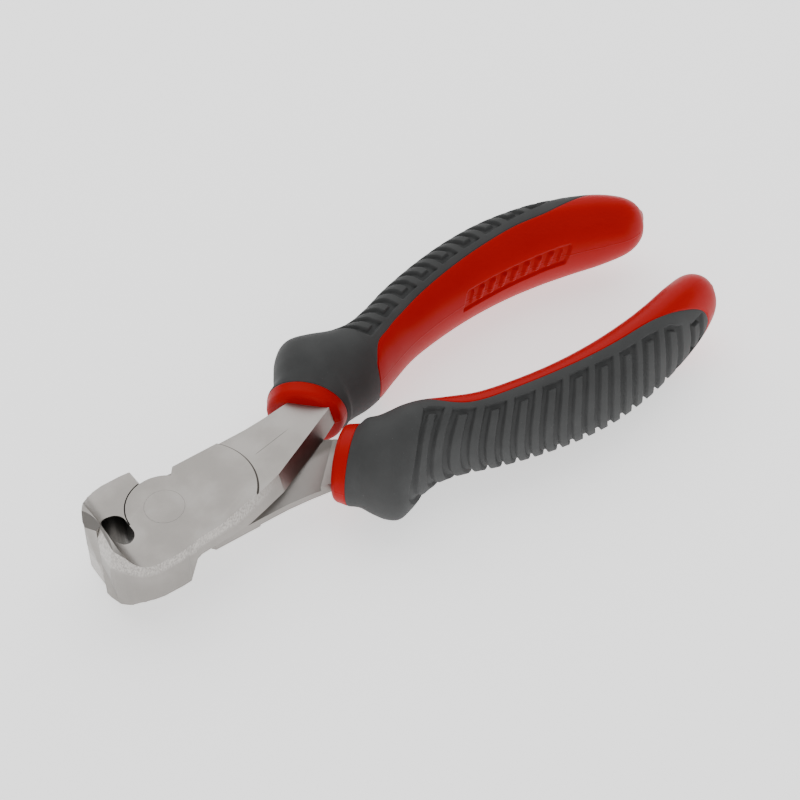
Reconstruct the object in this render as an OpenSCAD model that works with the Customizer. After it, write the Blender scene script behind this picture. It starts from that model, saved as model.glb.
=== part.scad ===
// End cutting nippers: two forged halves lapped on one flush rivet, each with a two-part moulded grip.
// The origin is on the pivot axis, in the flat underside of the joint. +X runs from the jaws to the grips,
// +Y to the side of the upper half's grip and +Z out of the top face. The jaws are shown closed.
// The lower half is the upper half turned over about the X axis.

/* [Joint] */
// Thickness of the joint, both plates together
joint_t = 12.4; // [10:0.1:16]
// Radius of each round joint plate
disc_r = 9; // [8.5:0.1:10.5]
// Running gap between the two plates
lap_gap = 0.1; // [0.06:0.01:0.2]
// Gap between a plate's rim and the jaw that curves round it
seam_gap = 0.3; // [0.2:0.05:0.5]

/* [Rivet] */
// Radius of the rivet's shank
shank_r = 3.6; // [3:0.1:4]
// Radius of the rivet's flush ends
rivet_head_r = 4.7; // [4.3:0.1:5.5]
// Depth of each countersink
rivet_head_depth = 1.8; // [1:0.1:2.4]
// Radial clearance of the half that turns on the rivet
turn_fit = 0.05; // [0.02:0.01:0.1]
// Radial clearance of the half that is fixed to the rivet
fixed_fit = 0.01; // [0.005:0.005:0.02]

/* [Jaws] */
// Distance from the pivot to the cutting edges
edge_reach = 17.5; // [16.5:0.1:19]
// Length of the cutting edges
edge_len = 22.4; // [20:0.1:24]
// Distance that each nose stands in front of the cutting edges, at the jaw's plain end
nose_proud = 1.3; // [0.8:0.1:2]
// Half the width of the head
head_half_w = 13.4; // [12.5:0.1:15]
// Gap between the closed cutting edges
edge_gap = 0.1; // [0.05:0.01:0.2]
// Thickness of the blade from the edge back to the pocket
blade_t = 2.4; // [1.8:0.1:3]
// Distance that the crest of the blade's end stands behind the cutting edge
crest_set = 1.4; // [1:0.1:1.8]
// Height of the whetted facet at the top of the upper half's jaw, at the cutting edge
whetted_h = 3.8; // [3:0.1:4.6]
// Lean of the whetted facet away from upright
whetted_lean = 16; // [12:0.5:20]
// Turn of the whetted facet towards the other jaw
whetted_turn = 4; // [0:0.5:8]
// Height of the ground facets at the ends of the jaws
facet_h = 2.2; // [1.5:0.1:3]
// Height of the ground facet at the bottom of the lower half's jaw
blunt_facet_h = 0.6; // [0.4:0.1:2]
// Width of the pocket behind the blades, along X
pocket_w = 5.8; // [5:0.1:6]
// Length of the pocket across both jaws
pocket_len = 9.2; // [8:0.1:11]
// Distance from the pivot forward to the back edge of the jaw's lower layer
jaw_back = 1.6; // [1:0.1:2.5]
// Distance that the jaw's back edge slopes back, from the face to the lap
jaw_draft = 2.2; // [1:0.1:2.6]

/* [Arms] */
// Drop from the joint's flat face to the arm's face
arm_step = 0.5; // [0.2:0.1:1]
// Distance from the pivot to the step, on the X axis
step_reach = 22.6; // [21:0.1:24]
// Radius of the step's arc
step_r = 13.6; // [12.5:0.1:15]
// Distance from the X axis to each arm's straight outer edge
arm_edge_y = 8.9; // [8.3:0.1:9.6]
// Distance that the inner wall of the arm leans out, from the face to the lap
arm_lean = 1.3; // [0:0.1:1.6]
// Depth of the relief on the arm's lap side, at its outer edge
relief_depth = 3.6; // [1:0.1:4]
// Depth of the shallower relief on the block in front of the collar
block_relief = 2.4; // [0.5:0.1:3]
// Radius of the flat round the pivot that the relief leaves
relief_r = 14; // [13.6:0.1:16]
// Width of the arm where it enters the collar
arm_root_w = 9.8; // [8.6:0.1:10.6]
// Distance along the collar's face from its middle to the middle of the arm
arm_root_set = 1.3; // [0.8:0.1:1.6]
// Length of the thick block that the arm ends in, in front of the collar
block_lead = 3; // [2:0.1:4]
// Depth of the tang past the lap plane
tang_drop = 3; // [1.5:0.1:4]
// Width of the tang inside the grip
tang_w = 6; // [4:0.1:7]

/* [Collars] */
// Slant of the collar's front face
collar_slant = 46; // [40:0.5:50]
// Distance from the pivot to the collar's front face, square to it
collar_reach = 34.6; // [34:0.1:35.5]
// Distance along the front face from the pivot to the collar's middle
collar_side = 24.8; // [24:0.1:26]
// Width of the collar, from its front face to the soft cover
collar_w = 3.7; // [3:0.1:5]
// Least wall of the collar round the corners of the arm
collar_wall = 0.9; // [0.6:0.1:1.4]
// Growth of the collar's radius up to the soft cover
collar_flare = 0.4; // [0.2:0.1:0.8]
// Rounding of the collar's front edge
collar_round = 2; // [1:0.1:2.6]

/* [Grips] */
// Distance from the pivot to the tail of the grip
grip_tip = 143.4; // [130:0.2:165]
// Distance from the X axis to the grip's outermost line
grip_reach = 31; // [29:0.1:36]
// Thickness of the grip at its guard, along Z
grip_t = 27.8; // [24:0.1:30]
// Thickness of the soft cover
cover_t = 2.2; // [1.6:0.1:2.6]
// Depth of the grooves in the soft cover
groove_depth = 0.9; // [0.5:0.1:1.2]
// Width of each groove
groove_w = 1.4; // [0.8:0.1:1.6]
// Width of the short rib inside each pair of grooves
rib_w = 2.1; // [1.6:0.1:2.6]
// Distance from one pair of grooves to the next
rib_pitch = 6.9; // [6.4:0.1:7.2]
// Number of pairs of grooves
rib_count = 10; // [4:1:10]
// Distance from the pivot to the end of the first groove on the grip's face
rib_start = 61.6; // [60.6:0.1:62.6]
// Length of the recessed panel on the grip's inner side
panel_len = 29; // [20:0.5:32]
// Height of the recessed panel
panel_h = 5.8; // [4:0.1:7]
// Depth of the recessed panel
panel_depth = 0.7; // [0.3:0.1:1]
// Distance from the pivot to the middle of the panel
panel_mid = 107; // [100:0.5:112]
// Height of the panel's middle above the grip's middle plane
panel_lift = 1.2; // [0:0.1:2]

/* [Hidden] */

plate_t = joint_t / 2;
arm_top = plate_t - arm_step;
lap = lap_gap / 2;
edge_half = edge_len / 2;
lip_rise = edge_half - plate_t;
nose_reach = edge_reach + nose_proud;
crest_reach = edge_reach - crest_set;
pocket_front = edge_reach - blade_t;
pocket_r = pocket_w / 2;
jaw_root = jaw_draft - jaw_back;
root_side = collar_side + arm_root_set;
arm_corner = [arm_root_w / 2 + arm_root_set, arm_top];
collar_front_r = norm(arm_corner) + collar_wall;
collar_r = collar_front_r + collar_flare;
root_end = collar_reach + collar_w - collar_wall;
lean_room = arm_lean * 2;
over = grip_tip;

// Faces in an arc of the outline, sides of a grip section, and sections from one row of shares to the next
arc_steps = 24;
ring_n = 24;
outer_steps = 2;
inner_steps = 1;
slice_t = 0.02;
// Skin left between the core and the soft cover
bond_gap = 0.02;

// Jaw outline of the upper half, from the nose round the side to the jaw's back: shares of the nose's reach
// along X and of the head's half width along Y
jaw_outline_shares = [
    [-1, -0.24], [-0.985, -0.35], [-0.935, -0.49], [-0.865, -0.65], [-0.79, -0.79], [-0.71, -0.9],
    [-0.61, -0.968], [-0.48, -1], [-0.34, -1.005], [-0.2, -0.998], [-0.1, -0.985], [-0.075, -0.965]
];

// Inner edge of the upper half's arm, from the jaw to the collar: shares of the step's reach along X and of
// the head's half width along Y
arm_inner_shares = [
    [0.02, -0.93], [0.35, -0.888], [0.61, -0.775], [0.884, -0.642], [1.17, -0.49], [1.47, -0.24]
];

// Outer edge of the arm in front of the collar: shares of the step's reach along X and of the straight
// edge's place along Y
arm_outer_shares = [[1.43, 1.05], [1.2, 1.005]];

// Where the relief on the lap side starts, as a share of the straight edge's place
relief_share = 0.045;

// How far the middle of a facet stands in, as a share of the crest's set
facet_mid_share = 0.25;

// How full the blade's end is across its width
fan_power = 2.4;

// The shoulder that stops the opening: its outer corner along X, then its root along X and Y, as shares of
// the joint plate's radius
shoulder_shares = [0.815, 0.663, 0.8];

// Middle line of the tang inside the grip: shares of the grip's reach along X and of its width along Y
tang_shares = [[0.287, 0.21], [0.34, 0.36], [0.39, 0.46], [0.46, 0.525], [0.53, 0.632], [0.61, 0.71],
    [0.72, 0.748], [0.81, 0.706]];

// Rows of the grip's form from the guard to the tail: the outer and the inner point of each row as shares of
// the grip's reach along X and of its width along Y, and half the thickness as a share of the guard's
grip_row_shares = [
    [0.279, 0.594, 0.367, 0.126, 0.827], [0.292, 0.687, 0.37, 0.139, 0.928],
    [0.307, 0.787, 0.374, 0.152, 0.986], [0.327, 0.848, 0.381, 0.161, 1],
    [0.356, 0.815, 0.394, 0.171, 0.986], [0.394, 0.739, 0.418, 0.187, 0.957],
    [0.432, 0.718, 0.446, 0.226, 0.921], [0.474, 0.768, 0.483, 0.303, 0.878],
    [0.53, 0.871, 0.533, 0.39, 0.842], [0.6, 0.948, 0.6, 0.458, 0.871],
    [0.669, 0.994, 0.669, 0.494, 0.892], [0.739, 0.997, 0.739, 0.497, 0.906],
    [0.812, 0.939, 0.805, 0.474, 0.914], [0.872, 0.858, 0.858, 0.426, 0.878],
    [0.931, 0.761, 0.91, 0.352, 0.784], [0.969, 0.677, 0.955, 0.3, 0.62],
    [0.99, 0.6, 0.983, 0.332, 0.42], [1, 0.5, 0.999, 0.43, 0.17]
];
tail_rows = 2;

// Edge of the soft cover on the grip's faces, from the inner side behind the guard to the tail
cover_edge_shares = [
    [0.434, -0.1], [0.436, 0.2], [0.46, 0.37], [0.502, 0.5], [0.558, 0.587], [0.628, 0.652], [0.697, 0.687],
    [0.767, 0.694], [0.837, 0.674], [0.907, 0.677], [0.948, 0.697], [0.97, 0.72], [0.98, 0.8]
];

// Slant of the grooves along the grip: shares of the grip's reach along X and of the collar's slant
rib_slant_shares = [
    [0.43, 1], [0.465, 0.95], [0.49, 0.87], [0.52, 0.8], [0.63, 0.77], [0.68, 0.73], [0.73, 0.69],
    [0.77, 0.64], [0.83, 0.6], [0.87, 0.46], [0.91, 0.1]
];

// How far up the grip's faces the grooves reach, as a share of half its thickness
rib_rise_share = 0.9;

function arc(r, a0, a1, n) = [for (i = [0:n]) let (a = a0 + (a1 - a0) * i / n) [r * cos(a), r * sin(a)]];

// A point on a plane square to the collar's slant, at a distance from the pivot and a distance along it
function at_collar(reach, side) = [
    reach * cos(collar_slant) + side * sin(collar_slant),
    reach * sin(collar_slant) - side * cos(collar_slant)
];

function collar_row(reach, r) = concat(
    at_collar(reach, collar_side - r), at_collar(reach, collar_side + r), [r]);

// All rows of the grip's form in true sizes: outer point, inner point and half thickness
grip_rows = concat(
    [
        collar_row(collar_reach, collar_front_r - collar_round),
        collar_row(collar_reach + collar_round, collar_front_r),
        collar_row(collar_reach + collar_w, collar_r)
    ],
    [for (s = grip_row_shares)
        [s[0] * grip_tip, s[1] * grip_reach, s[2] * grip_tip, s[3] * grip_reach, s[4] * grip_t / 2]]
);

function row(i) = grip_rows[min(max(i, 0), len(grip_rows) - 1)];

function curve(p0, p1, p2, p3, u) =
    p1 + (p2 - p0) * u / 2 + (p0 - p1 * 2.5 + p2 * 2 - p3 / 2) * u * u
    + (p1 * 1.5 - p0 / 2 - p2 * 1.5 + p3 / 2) * u * u * u;

// Section k of the grip, with a number of steps between rows. The two steps of the collar stay straight.
function section(k, steps) =
    let (i = floor(k / steps), u = k / steps - i)
    i < 2 ? row(i) * (1 - u) + row(i + 1) * u : curve(row(i - 1), row(i), row(i + 1), row(i + 2), u);

// Along the grip by place on X: its middle's place on Y and half its thickness
middle_line = [for (g = grip_rows) [(g[0] + g[2]) / 2, (g[1] + g[3]) / 2]];
depth_line = [for (g = grip_rows) [(g[0] + g[2]) / 2, g[4]]];

module slice(g, inset) {
    half_w = norm([g[0] - g[2], g[1] - g[3]]) / 2 - inset;
    translate([(g[0] + g[2]) / 2, (g[1] + g[3]) / 2, 0])
        rotate([90, 0, atan2(g[1] - g[3], g[0] - g[2])])
            linear_extrude(slice_t, center = true)
                scale([half_w, g[4] - inset])
                    circle(1, $fn = ring_n);
}

// The grip's full form, drawn in by an inset. An inset form stops short of the tail.
module grip_form(inset, steps) {
    rows = len(grip_rows) - 1 - (inset > groove_depth ? tail_rows : 0);
    for (k = [0:rows * steps - 1])
        hull() {
            slice(section(k, steps), inset);
            slice(section(k + 1, steps), inset);
        }
}

// Everything behind a plane that is square to the collar's slant, at a distance from the pivot
module behind(reach) {
    rotate([0, 0, collar_slant])
        translate([reach, -over, -grip_t])
            cube([over * 2, over * 2, grip_t * 2]);
}

module pocket() {
    end_y = pocket_len / 2 - pocket_r;
    translate([pocket_r - pocket_front, 0, -edge_len])
        linear_extrude(edge_len * 2)
            union() {
                square([pocket_w, end_y * 2], center = true);
                translate([0, end_y])
                    circle(pocket_r, $fn = 48);
                translate([0, -end_y])
                    circle(pocket_r, $fn = 48);
            }
}

function jaw_points() = [for (s = jaw_outline_shares) [s[0] * nose_reach, s[1] * head_half_w]];

// Plan of a full jaw with its back edge
module jaw_plan() {
    last = len(jaw_outline_shares) - 1;
    polygon(concat(
        [[jaw_root, -edge_gap / 2], [-edge_reach, -edge_gap / 2]],
        jaw_points(),
        [[jaw_root, jaw_points()[last][1]]]
    ));
}

// Inner edge of the arm at its face, on into the collar with a fit
function arm_inner_line(fit) = concat(
    [for (s = arm_inner_shares) [s[0] * step_reach, s[1] * head_half_w]],
    [for (r = [collar_reach, root_end + fit]) at_collar(r, root_side + arm_root_w / 2 + fit)]
);

// Plan of the jaw's web and the arm, as the upper layer has it, with room on the inner side for its lean
module upper_plan(fit) {
    inner = arm_inner_line(fit);
    last = len(inner) - 1;
    polygon(concat(
        [[0, -edge_gap / 2], [-edge_reach, -edge_gap / 2]],
        jaw_points(),
        [inner[0]],
        [for (i = [1:last]) inner[i] - [0, lean_room]],
        [
            inner[last],
            at_collar(root_end + fit, root_side - arm_root_w / 2 - fit),
            at_collar(collar_reach, root_side - arm_root_w / 2 - fit)
        ],
        [for (s = arm_outer_shares) [s[0] * step_reach, s[1] * arm_edge_y]],
        [
            [step_reach, arm_edge_y],
            [disc_r * shoulder_shares[0], arm_edge_y],
            [disc_r * shoulder_shares[1], disc_r * shoulder_shares[2]]
        ]
    ));
}

// What lies outside the arm's inner wall, which is upright beside the jaw and leans out behind it
module inner_side(fit) {
    inner = arm_inner_line(fit);
    for (i = [0:len(inner) - 2]) {
        step = inner[i + 1] - inner[i];
        translate([inner[i][0], inner[i][1], plate_t])
            rotate([i > 0 ? -atan2(arm_lean, plate_t) : 0, 0, atan2(step[1], step[0])])
                translate([-over, -over, -over])
                    cube([over * 2, over, over * 2]);
    }
}

// The upper layer between two heights, wider by a fit inside the collar
module upper_layer(low, high, fit) {
    difference() {
        translate([0, 0, low])
            linear_extrude(high - low)
                upper_plan(fit);
        inner_side(fit);
    }
}

module tang_plan(fit) {
    middle = [for (s = tang_shares) [s[0] * grip_tip, s[1] * grip_reach]];
    last = len(middle) - 1;
    polygon(concat(
        [for (i = [0:last]) middle[i] + [i == last ? fit : 0, tang_w / 2 + fit]],
        [for (i = [last:-1:0]) middle[i] - [i == last ? -fit : 0, tang_w / 2 + fit]]
    ));
}

// Side form of the blade: flat faces behind, a hollow rise to each crest, a sloped front and ground facets.
// The height of the facet at the top is given.
module blade_side(first_h) {
    rise = arc(lip_rise, 180, 270, arc_steps);
    top = [for (p = rise) [lip_rise - crest_reach + p[0], edge_half + p[1]]];
    bottom = [for (i = [arc_steps:-1:0]) [top[i][0], -top[i][1]]];
    facet_mid = [crest_set * facet_mid_share - edge_reach, edge_half - first_h / 2];
    lower_front = [[-nose_reach, facet_h - edge_half], [-edge_reach, edge_half - first_h], facet_mid];
    root = [[jaw_root, plate_t], [jaw_root, 0], [-jaw_back, -plate_t]];
    translate([0, over, 0])
        rotate([90, 0, 0])
            linear_extrude(over * 2)
                polygon(concat(lower_front, top, root, bottom));
}

// Front form of the blade: highest at the cutting edges, down to the joint's faces at the sides
module blade_front() {
    top = [for (i = [-arc_steps:arc_steps]) let (s = i / arc_steps)
        [s * head_half_w, plate_t + lip_rise * (1 - pow(abs(s), fan_power))]];
    translate([-over, 0, 0])
        rotate([90, 0, 90])
            linear_extrude(over * 2)
                polygon(concat(top, [for (i = [len(top) - 1:-1:0]) [top[i][0], -top[i][1]]]));
}

module blade_form(first_h) {
    difference() {
        intersection() {
            linear_extrude(edge_len, center = true)
                jaw_plan();
            blade_side(first_h);
            blade_front();
        }
        translate([0, 0, lap - edge_len])
            cylinder(h = edge_len, r = disc_r + seam_gap, $fn = 96);
    }
}

// What the whetted facet takes off, with the cutting edge at its middle
module whetting() {
    translate([-edge_reach, 0, edge_half - whetted_h])
        rotate([0, whetted_lean, -whetted_turn])
            translate([-over, -over, -whetted_h])
                cube([over, over * 2, over]);
}

module rivet_form(fit) {
    z0 = plate_t + (fit > 0 ? lip_rise : 0);
    neck = plate_t - rivet_head_depth - fit;
    rotate_extrude($fn = 96)
        polygon([[0, -z0], [rivet_head_r + fit, -z0], [rivet_head_r + fit, -plate_t],
            [shank_r + fit, -neck], [shank_r + fit, neck], [rivet_head_r + fit, plate_t],
            [rivet_head_r + fit, z0], [0, z0]]);
}

module step_cut() {
    translate([0, 0, arm_top])
        linear_extrude(joint_t)
            difference() {
                translate([disc_r, -over])
                    square([over, over * 2]);
                translate([step_reach - step_r, 0])
                    circle(step_r, $fn = 96);
                translate([0, -over])
                    square([step_reach - step_r, over * 2]);
            }
}

// A wedge under the arm's lap side, from nothing near the middle to a depth at the straight outer edge
module relief(depth) {
    start = arm_edge_y * relief_share;
    translate([0, start, 0])
        rotate([atan2(depth, arm_edge_y - start), 0, 0])
            translate([0, 0, -over])
                cube([over, over, over]);
}

module reliefs() {
    difference() {
        relief(relief_depth);
        translate([0, 0, -over])
            cylinder(h = over * 2, r = relief_r, $fn = 96);
        behind(collar_reach - block_lead);
    }
    difference() {
        relief(block_relief);
        translate([0, 0, -over])
            cylinder(h = over * 2, r = relief_r, $fn = 96);
        behind(collar_reach);
    }
}

// The arm's end inside the collar and the tang behind it. The fit is the room all round them.
module root_block(fit) {
    intersection() {
        union() {
            translate([0, 0, -tang_drop - fit])
                linear_extrude(arm_top + tang_drop + fit * 2)
                    tang_plan(fit);
            upper_layer(lap - fit, arm_top + fit, fit);
        }
        behind(collar_reach - fit);
    }
}

// One forged half about the lap plane: jaw, upper joint plate, arm and tang
module forged_half(fit, first_h) {
    difference() {
        union() {
            blade_form(first_h);
            upper_layer(lap, plate_t, 0);
            translate([0, 0, lap])
                cylinder(h = plate_t - lap, r = disc_r, $fn = 96);
            root_block(0);
        }
        pocket();
        rivet_form(fit);
        step_cut();
        reliefs();
    }
}

module cover_zone() {
    edge = [for (s = cover_edge_shares) [s[0] * grip_tip, s[1] * grip_reach]];
    intersection() {
        linear_extrude(grip_t * 2, center = true)
            polygon(concat(
                [[0, -grip_reach], [edge[0][0], -grip_reach]],
                edge,
                [[over, grip_reach], [over, grip_reach * 2], [0, grip_reach * 2]]
            ));
        behind(collar_reach + collar_w);
    }
}

// Pairs of grooves across the grip's outer side, slanted towards the guard, most of all behind it
module grooves() {
    slants = [for (s = rib_slant_shares) [s[0] * grip_tip, s[1] * collar_slant]];
    difference() {
        for (i = [0:rib_count - 1], j = [0, 1]) {
            x = rib_start + i * rib_pitch + j * (rib_w + groove_w);
            rise = lookup(x, depth_line) * rib_rise_share;
            translate([x, lookup(x, middle_line), 0])
                rotate([0, 0, lookup(x, slants)])
                    translate([0, 0, -rise])
                        cube([groove_w, grip_reach, rise * 2]);
        }
        grip_form(groove_depth, outer_steps);
    }
}

module panel() {
    difference() {
        translate([panel_mid - panel_len / 2, 0, panel_lift - panel_h / 2])
            cube([panel_len, lookup(panel_mid, middle_line), panel_h]);
        grip_form(panel_depth, outer_steps);
    }
}

module grip_core() {
    difference() {
        union() {
            difference() {
                grip_form(0, outer_steps);
                cover_zone();
            }
            grip_form(cover_t + bond_gap, inner_steps);
        }
        root_block(bond_gap);
        panel();
    }
}

module grip_cover() {
    difference() {
        intersection() {
            grip_form(0, outer_steps);
            cover_zone();
        }
        grip_form(cover_t, inner_steps);
        grooves();
    }
}

module turned_over() {
    rotate([180, 0, 0])
        children();
}

module placed() {
    translate([0, 0, plate_t])
        children();
}

module upper_half() {
    color([0.66, 0.64, 0.61])
        placed()
            difference() {
                forged_half(turn_fit, facet_h);
                whetting();
            }
}

module lower_half() {
    color([0.6, 0.58, 0.56])
        placed()
            turned_over()
                forged_half(fixed_fit, blunt_facet_h);
}

module pivot_rivet() {
    color([0.72, 0.7, 0.67])
        placed()
            rivet_form(0);
}

module upper_grip_core() {
    color([0.72, 0.02, 0.02])
        placed()
            grip_core();
}

module upper_grip_cover() {
    color([0.3, 0.31, 0.31])
        placed()
            grip_cover();
}

module lower_grip_core() {
    color([0.72, 0.02, 0.02])
        placed()
            turned_over()
                grip_core();
}

module lower_grip_cover() {
    color([0.3, 0.31, 0.31])
        placed()
            turned_over()
                grip_cover();
}

upper_half();
lower_half();
pivot_rivet();
upper_grip_core();
upper_grip_cover();
lower_grip_core();
lower_grip_cover();
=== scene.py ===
import math

import bmesh
import bpy
import numpy as np
from bpy.props import FloatProperty, FloatVectorProperty, IntProperty, PointerProperty
from mathutils import Matrix, Vector


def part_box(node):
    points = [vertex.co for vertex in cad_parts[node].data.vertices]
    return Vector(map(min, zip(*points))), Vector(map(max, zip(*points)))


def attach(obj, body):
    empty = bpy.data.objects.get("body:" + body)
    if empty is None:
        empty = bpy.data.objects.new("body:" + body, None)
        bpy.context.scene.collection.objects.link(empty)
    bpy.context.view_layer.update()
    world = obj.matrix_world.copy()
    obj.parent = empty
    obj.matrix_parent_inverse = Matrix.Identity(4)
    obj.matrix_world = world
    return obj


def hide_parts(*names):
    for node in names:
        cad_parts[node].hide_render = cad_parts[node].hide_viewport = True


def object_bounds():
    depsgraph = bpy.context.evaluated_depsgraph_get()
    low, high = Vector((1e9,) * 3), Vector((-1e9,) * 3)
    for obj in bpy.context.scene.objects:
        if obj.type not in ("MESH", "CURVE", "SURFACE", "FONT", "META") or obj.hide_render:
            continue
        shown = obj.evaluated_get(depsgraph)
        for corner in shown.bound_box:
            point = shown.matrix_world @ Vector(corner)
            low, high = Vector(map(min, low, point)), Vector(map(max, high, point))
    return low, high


bl_info = {
    "name": "End cutting nippers",
    "version": (1, 0, 0),
    "blender": (4, 5, 0),
    "location": "3D View > Sidebar > Nippers",
    "description": "Forged steel halves, ribbed two-part grips and a plain studio round the packed frame",
    "category": "Add Mesh",
}

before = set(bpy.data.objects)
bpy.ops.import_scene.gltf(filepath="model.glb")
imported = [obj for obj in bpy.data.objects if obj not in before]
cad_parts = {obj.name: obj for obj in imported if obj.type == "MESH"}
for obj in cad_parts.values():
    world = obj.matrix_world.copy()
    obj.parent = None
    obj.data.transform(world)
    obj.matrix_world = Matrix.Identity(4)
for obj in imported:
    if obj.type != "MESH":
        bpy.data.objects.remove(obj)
cad_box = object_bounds()

HALVES = {"upper": "upper_half_body", "lower": "lower_half_body"}
RIVET_LOW, RIVET_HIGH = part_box("pivot_rivet")
LAP_Z = (RIVET_LOW.z + RIVET_HIGH.z) / 2
FLOOR_Z = cad_box[0].z
CORE_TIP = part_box("upper_grip_core")[1].x

# Vertices closer than MERGE become one. The spacings are how far apart the rows of a grip's mesh lie.
MERGE = 2e-6
SEAM_SPACING = 0.00008
RIB_SPACING = 0.00023
PLAIN_SPACING = 0.0006
HIDDEN_SPACING = 0.0015

# Places of the columns next to a seam, counted in seam spacings, and the largest share of a side that they take
SEAM_STEPS = np.array([0, 1, 2, 3, 4.5, 7.0])
SEAM_SHARE = 0.3

# Spans of the form whose mesh is close, counted in its rows: behind and before the place where the soft cover
# opens, and at the collar's back. The last is what the tail's cap leaves out.
BEHIND_SEAM = 0.25
BEFORE_SEAM = 0.1
COLLAR_BACK = 0.2
CAP_SPAN = 0.05

# Columns round the core's bare side and under its cover, columns round the cover, and how many of these
# share one column of its inner side
BARE_COLUMNS = 116
COVERED_COLUMNS = 24
COVER_COLUMNS = 169
COLUMNS_PER_INNER = 8

# Faces of the forging that lie within this angle of each other become one
FLAT_ANGLE = math.radians(0.5)

# A distance that lies outside every panel and loop
FAR = 1.0

# Numbers of samples along the form, round a section and between two points of the cover's edge, of steps in a
# rounding, and of passes that find where a bowed groove starts
TRAVEL_SAMPLES = 4000
ARC_SAMPLES = 181
EDGE_SAMPLES = 16
ROUNDING_STEPS = 6
GROOVE_PASSES = 8

# Rows of the grip's form from the guard to the tail: the outer and the inner point of each row as shares of
# the grip's reach along X and of its width along Y, and half the thickness as a share of the guard's
GRIP_ROW_SHARES = [
    (0.279, 0.594, 0.367, 0.126, 0.827), (0.292, 0.687, 0.37, 0.139, 0.928),
    (0.307, 0.787, 0.374, 0.152, 0.986), (0.327, 0.848, 0.381, 0.161, 1),
    (0.356, 0.815, 0.394, 0.171, 0.986), (0.394, 0.739, 0.418, 0.187, 0.957),
    (0.432, 0.718, 0.446, 0.226, 0.921), (0.474, 0.768, 0.483, 0.303, 0.878),
    (0.53, 0.871, 0.533, 0.39, 0.842), (0.6, 0.948, 0.6, 0.458, 0.871),
    (0.669, 0.994, 0.669, 0.494, 0.892), (0.739, 0.997, 0.739, 0.497, 0.906),
    (0.812, 0.939, 0.805, 0.474, 0.914), (0.872, 0.858, 0.858, 0.426, 0.878),
    (0.931, 0.761, 0.91, 0.352, 0.784), (0.969, 0.677, 0.955, 0.3, 0.62),
    (0.99, 0.6, 0.983, 0.332, 0.42), (1, 0.5, 0.999, 0.43, 0.17),
]

# Rows that the collar adds before these, the row at its back, and the form's last row
COLLAR_ROWS = 3
COLLAR_END = COLLAR_ROWS - 1
LAST_ROW = COLLAR_ROWS + len(GRIP_ROW_SHARES) - 1

# Place where the guard stands out most, as a share of the grip's reach
GUARD_SHARE = 0.354

# Edge of the soft cover, from the inner side behind the guard to the tail, as shares of the grip's reach along
# X, and of its width on the face that the upper grip shows and on the other face
COVER_EDGE_SHARES = [
    (0.434, -0.1, -0.1), (0.436, 0.2, 0.2), (0.441, 0.265, 0.265), (0.456, 0.345, 0.41),
    (0.48, 0.4, 0.53), (0.508, 0.461, 0.598), (0.558, 0.542, 0.65), (0.628, 0.614, 0.703),
    (0.697, 0.655, 0.738), (0.767, 0.666, 0.746), (0.837, 0.636, 0.724), (0.907, 0.65, 0.715),
    (0.948, 0.7, 0.708), (0.97, 0.725, 0.725), (0.98, 0.8, 0.8),
]

# Along the grip, as shares of its reach: the slant of the grooves in degrees, and how far round the grip
# they climb on those two faces, in degrees from its outermost line
GROOVE_SLANTS = [
    (0.44, 47), (0.465, 44), (0.49, 41), (0.52, 37), (0.63, 35.5), (0.68, 33.5), (0.73, 32), (0.77, 29.5),
    (0.83, 28.5), (0.87, 22), (0.895, 15), (0.91, 4),
]
GROOVE_CLIMBS = [
    (0.44, 108, 82), (0.46, 106, 78), (0.49, 105, 70), (0.54, 102, 70), (0.59, 101, 70), (0.64, 97, 71),
    (0.69, 95, 71), (0.73, 91, 68), (0.775, 85, 63), (0.83, 76, 58), (0.875, 57, 47), (0.915, 25, 23),
]


def length(name, text, value, low=0.0):
    return FloatProperty(name=name, description=text, default=value, min=low, unit="LENGTH", precision=5)


def share(name, text, value):
    return FloatProperty(name=name, description=text, default=value, min=0.0, max=1.0, subtype="FACTOR")


def angle(name, text, value):
    return FloatProperty(name=name, description=text, default=value, subtype="ANGLE")


def colour(name, text, value):
    return FloatVectorProperty(
        name=name, description=text, default=value, size=3, min=0.0, max=1.0, subtype="COLOR",
    )


def number(name, text, value):
    return FloatProperty(name=name, description=text, default=value, min=0.0)


class NIPPERS_PG_grip(bpy.types.PropertyGroup):
    """Sizes of the grips"""

    tip: length("Tail", "Distance from the pivot to the grip's tail", CORE_TIP)
    reach: length("Reach", "Distance from the tool's middle to the grip's outermost line", 0.031)
    thickness: length("Thickness", "Thickness of the grip at its guard", 0.0278)
    cover: length("Cover", "Thickness of the soft cover", 0.0022)
    collar_slant: angle("Collar slant", "Slant of the collar's front face", math.radians(46))
    collar_reach: length("Collar reach", "Distance from the pivot to the collar's front face", 0.0346)
    collar_side: length("Collar side", "Distance along the front face to the collar's middle", 0.0248)
    collar_width: length("Collar width", "Width of the collar up to the soft cover", 0.0037)
    collar_front: length("Collar front radius", "Radius of the collar at its front", 0.00932)
    collar_back: length("Collar back radius", "Radius of the collar where it meets the cover", 0.00972)
    collar_round: length("Collar rounding", "Rounding of the collar's front edge", 0.0018)
    tail_round: length("Tail rounding", "Depth of the rounded end of the tail", 0.0005)
    seam_width: length("Seam width", "Width of the rounding where the two plastics meet", 0.00032)
    seam_depth: length("Seam depth", "Depth of the rounding where the two plastics meet", 0.00016)


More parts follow.
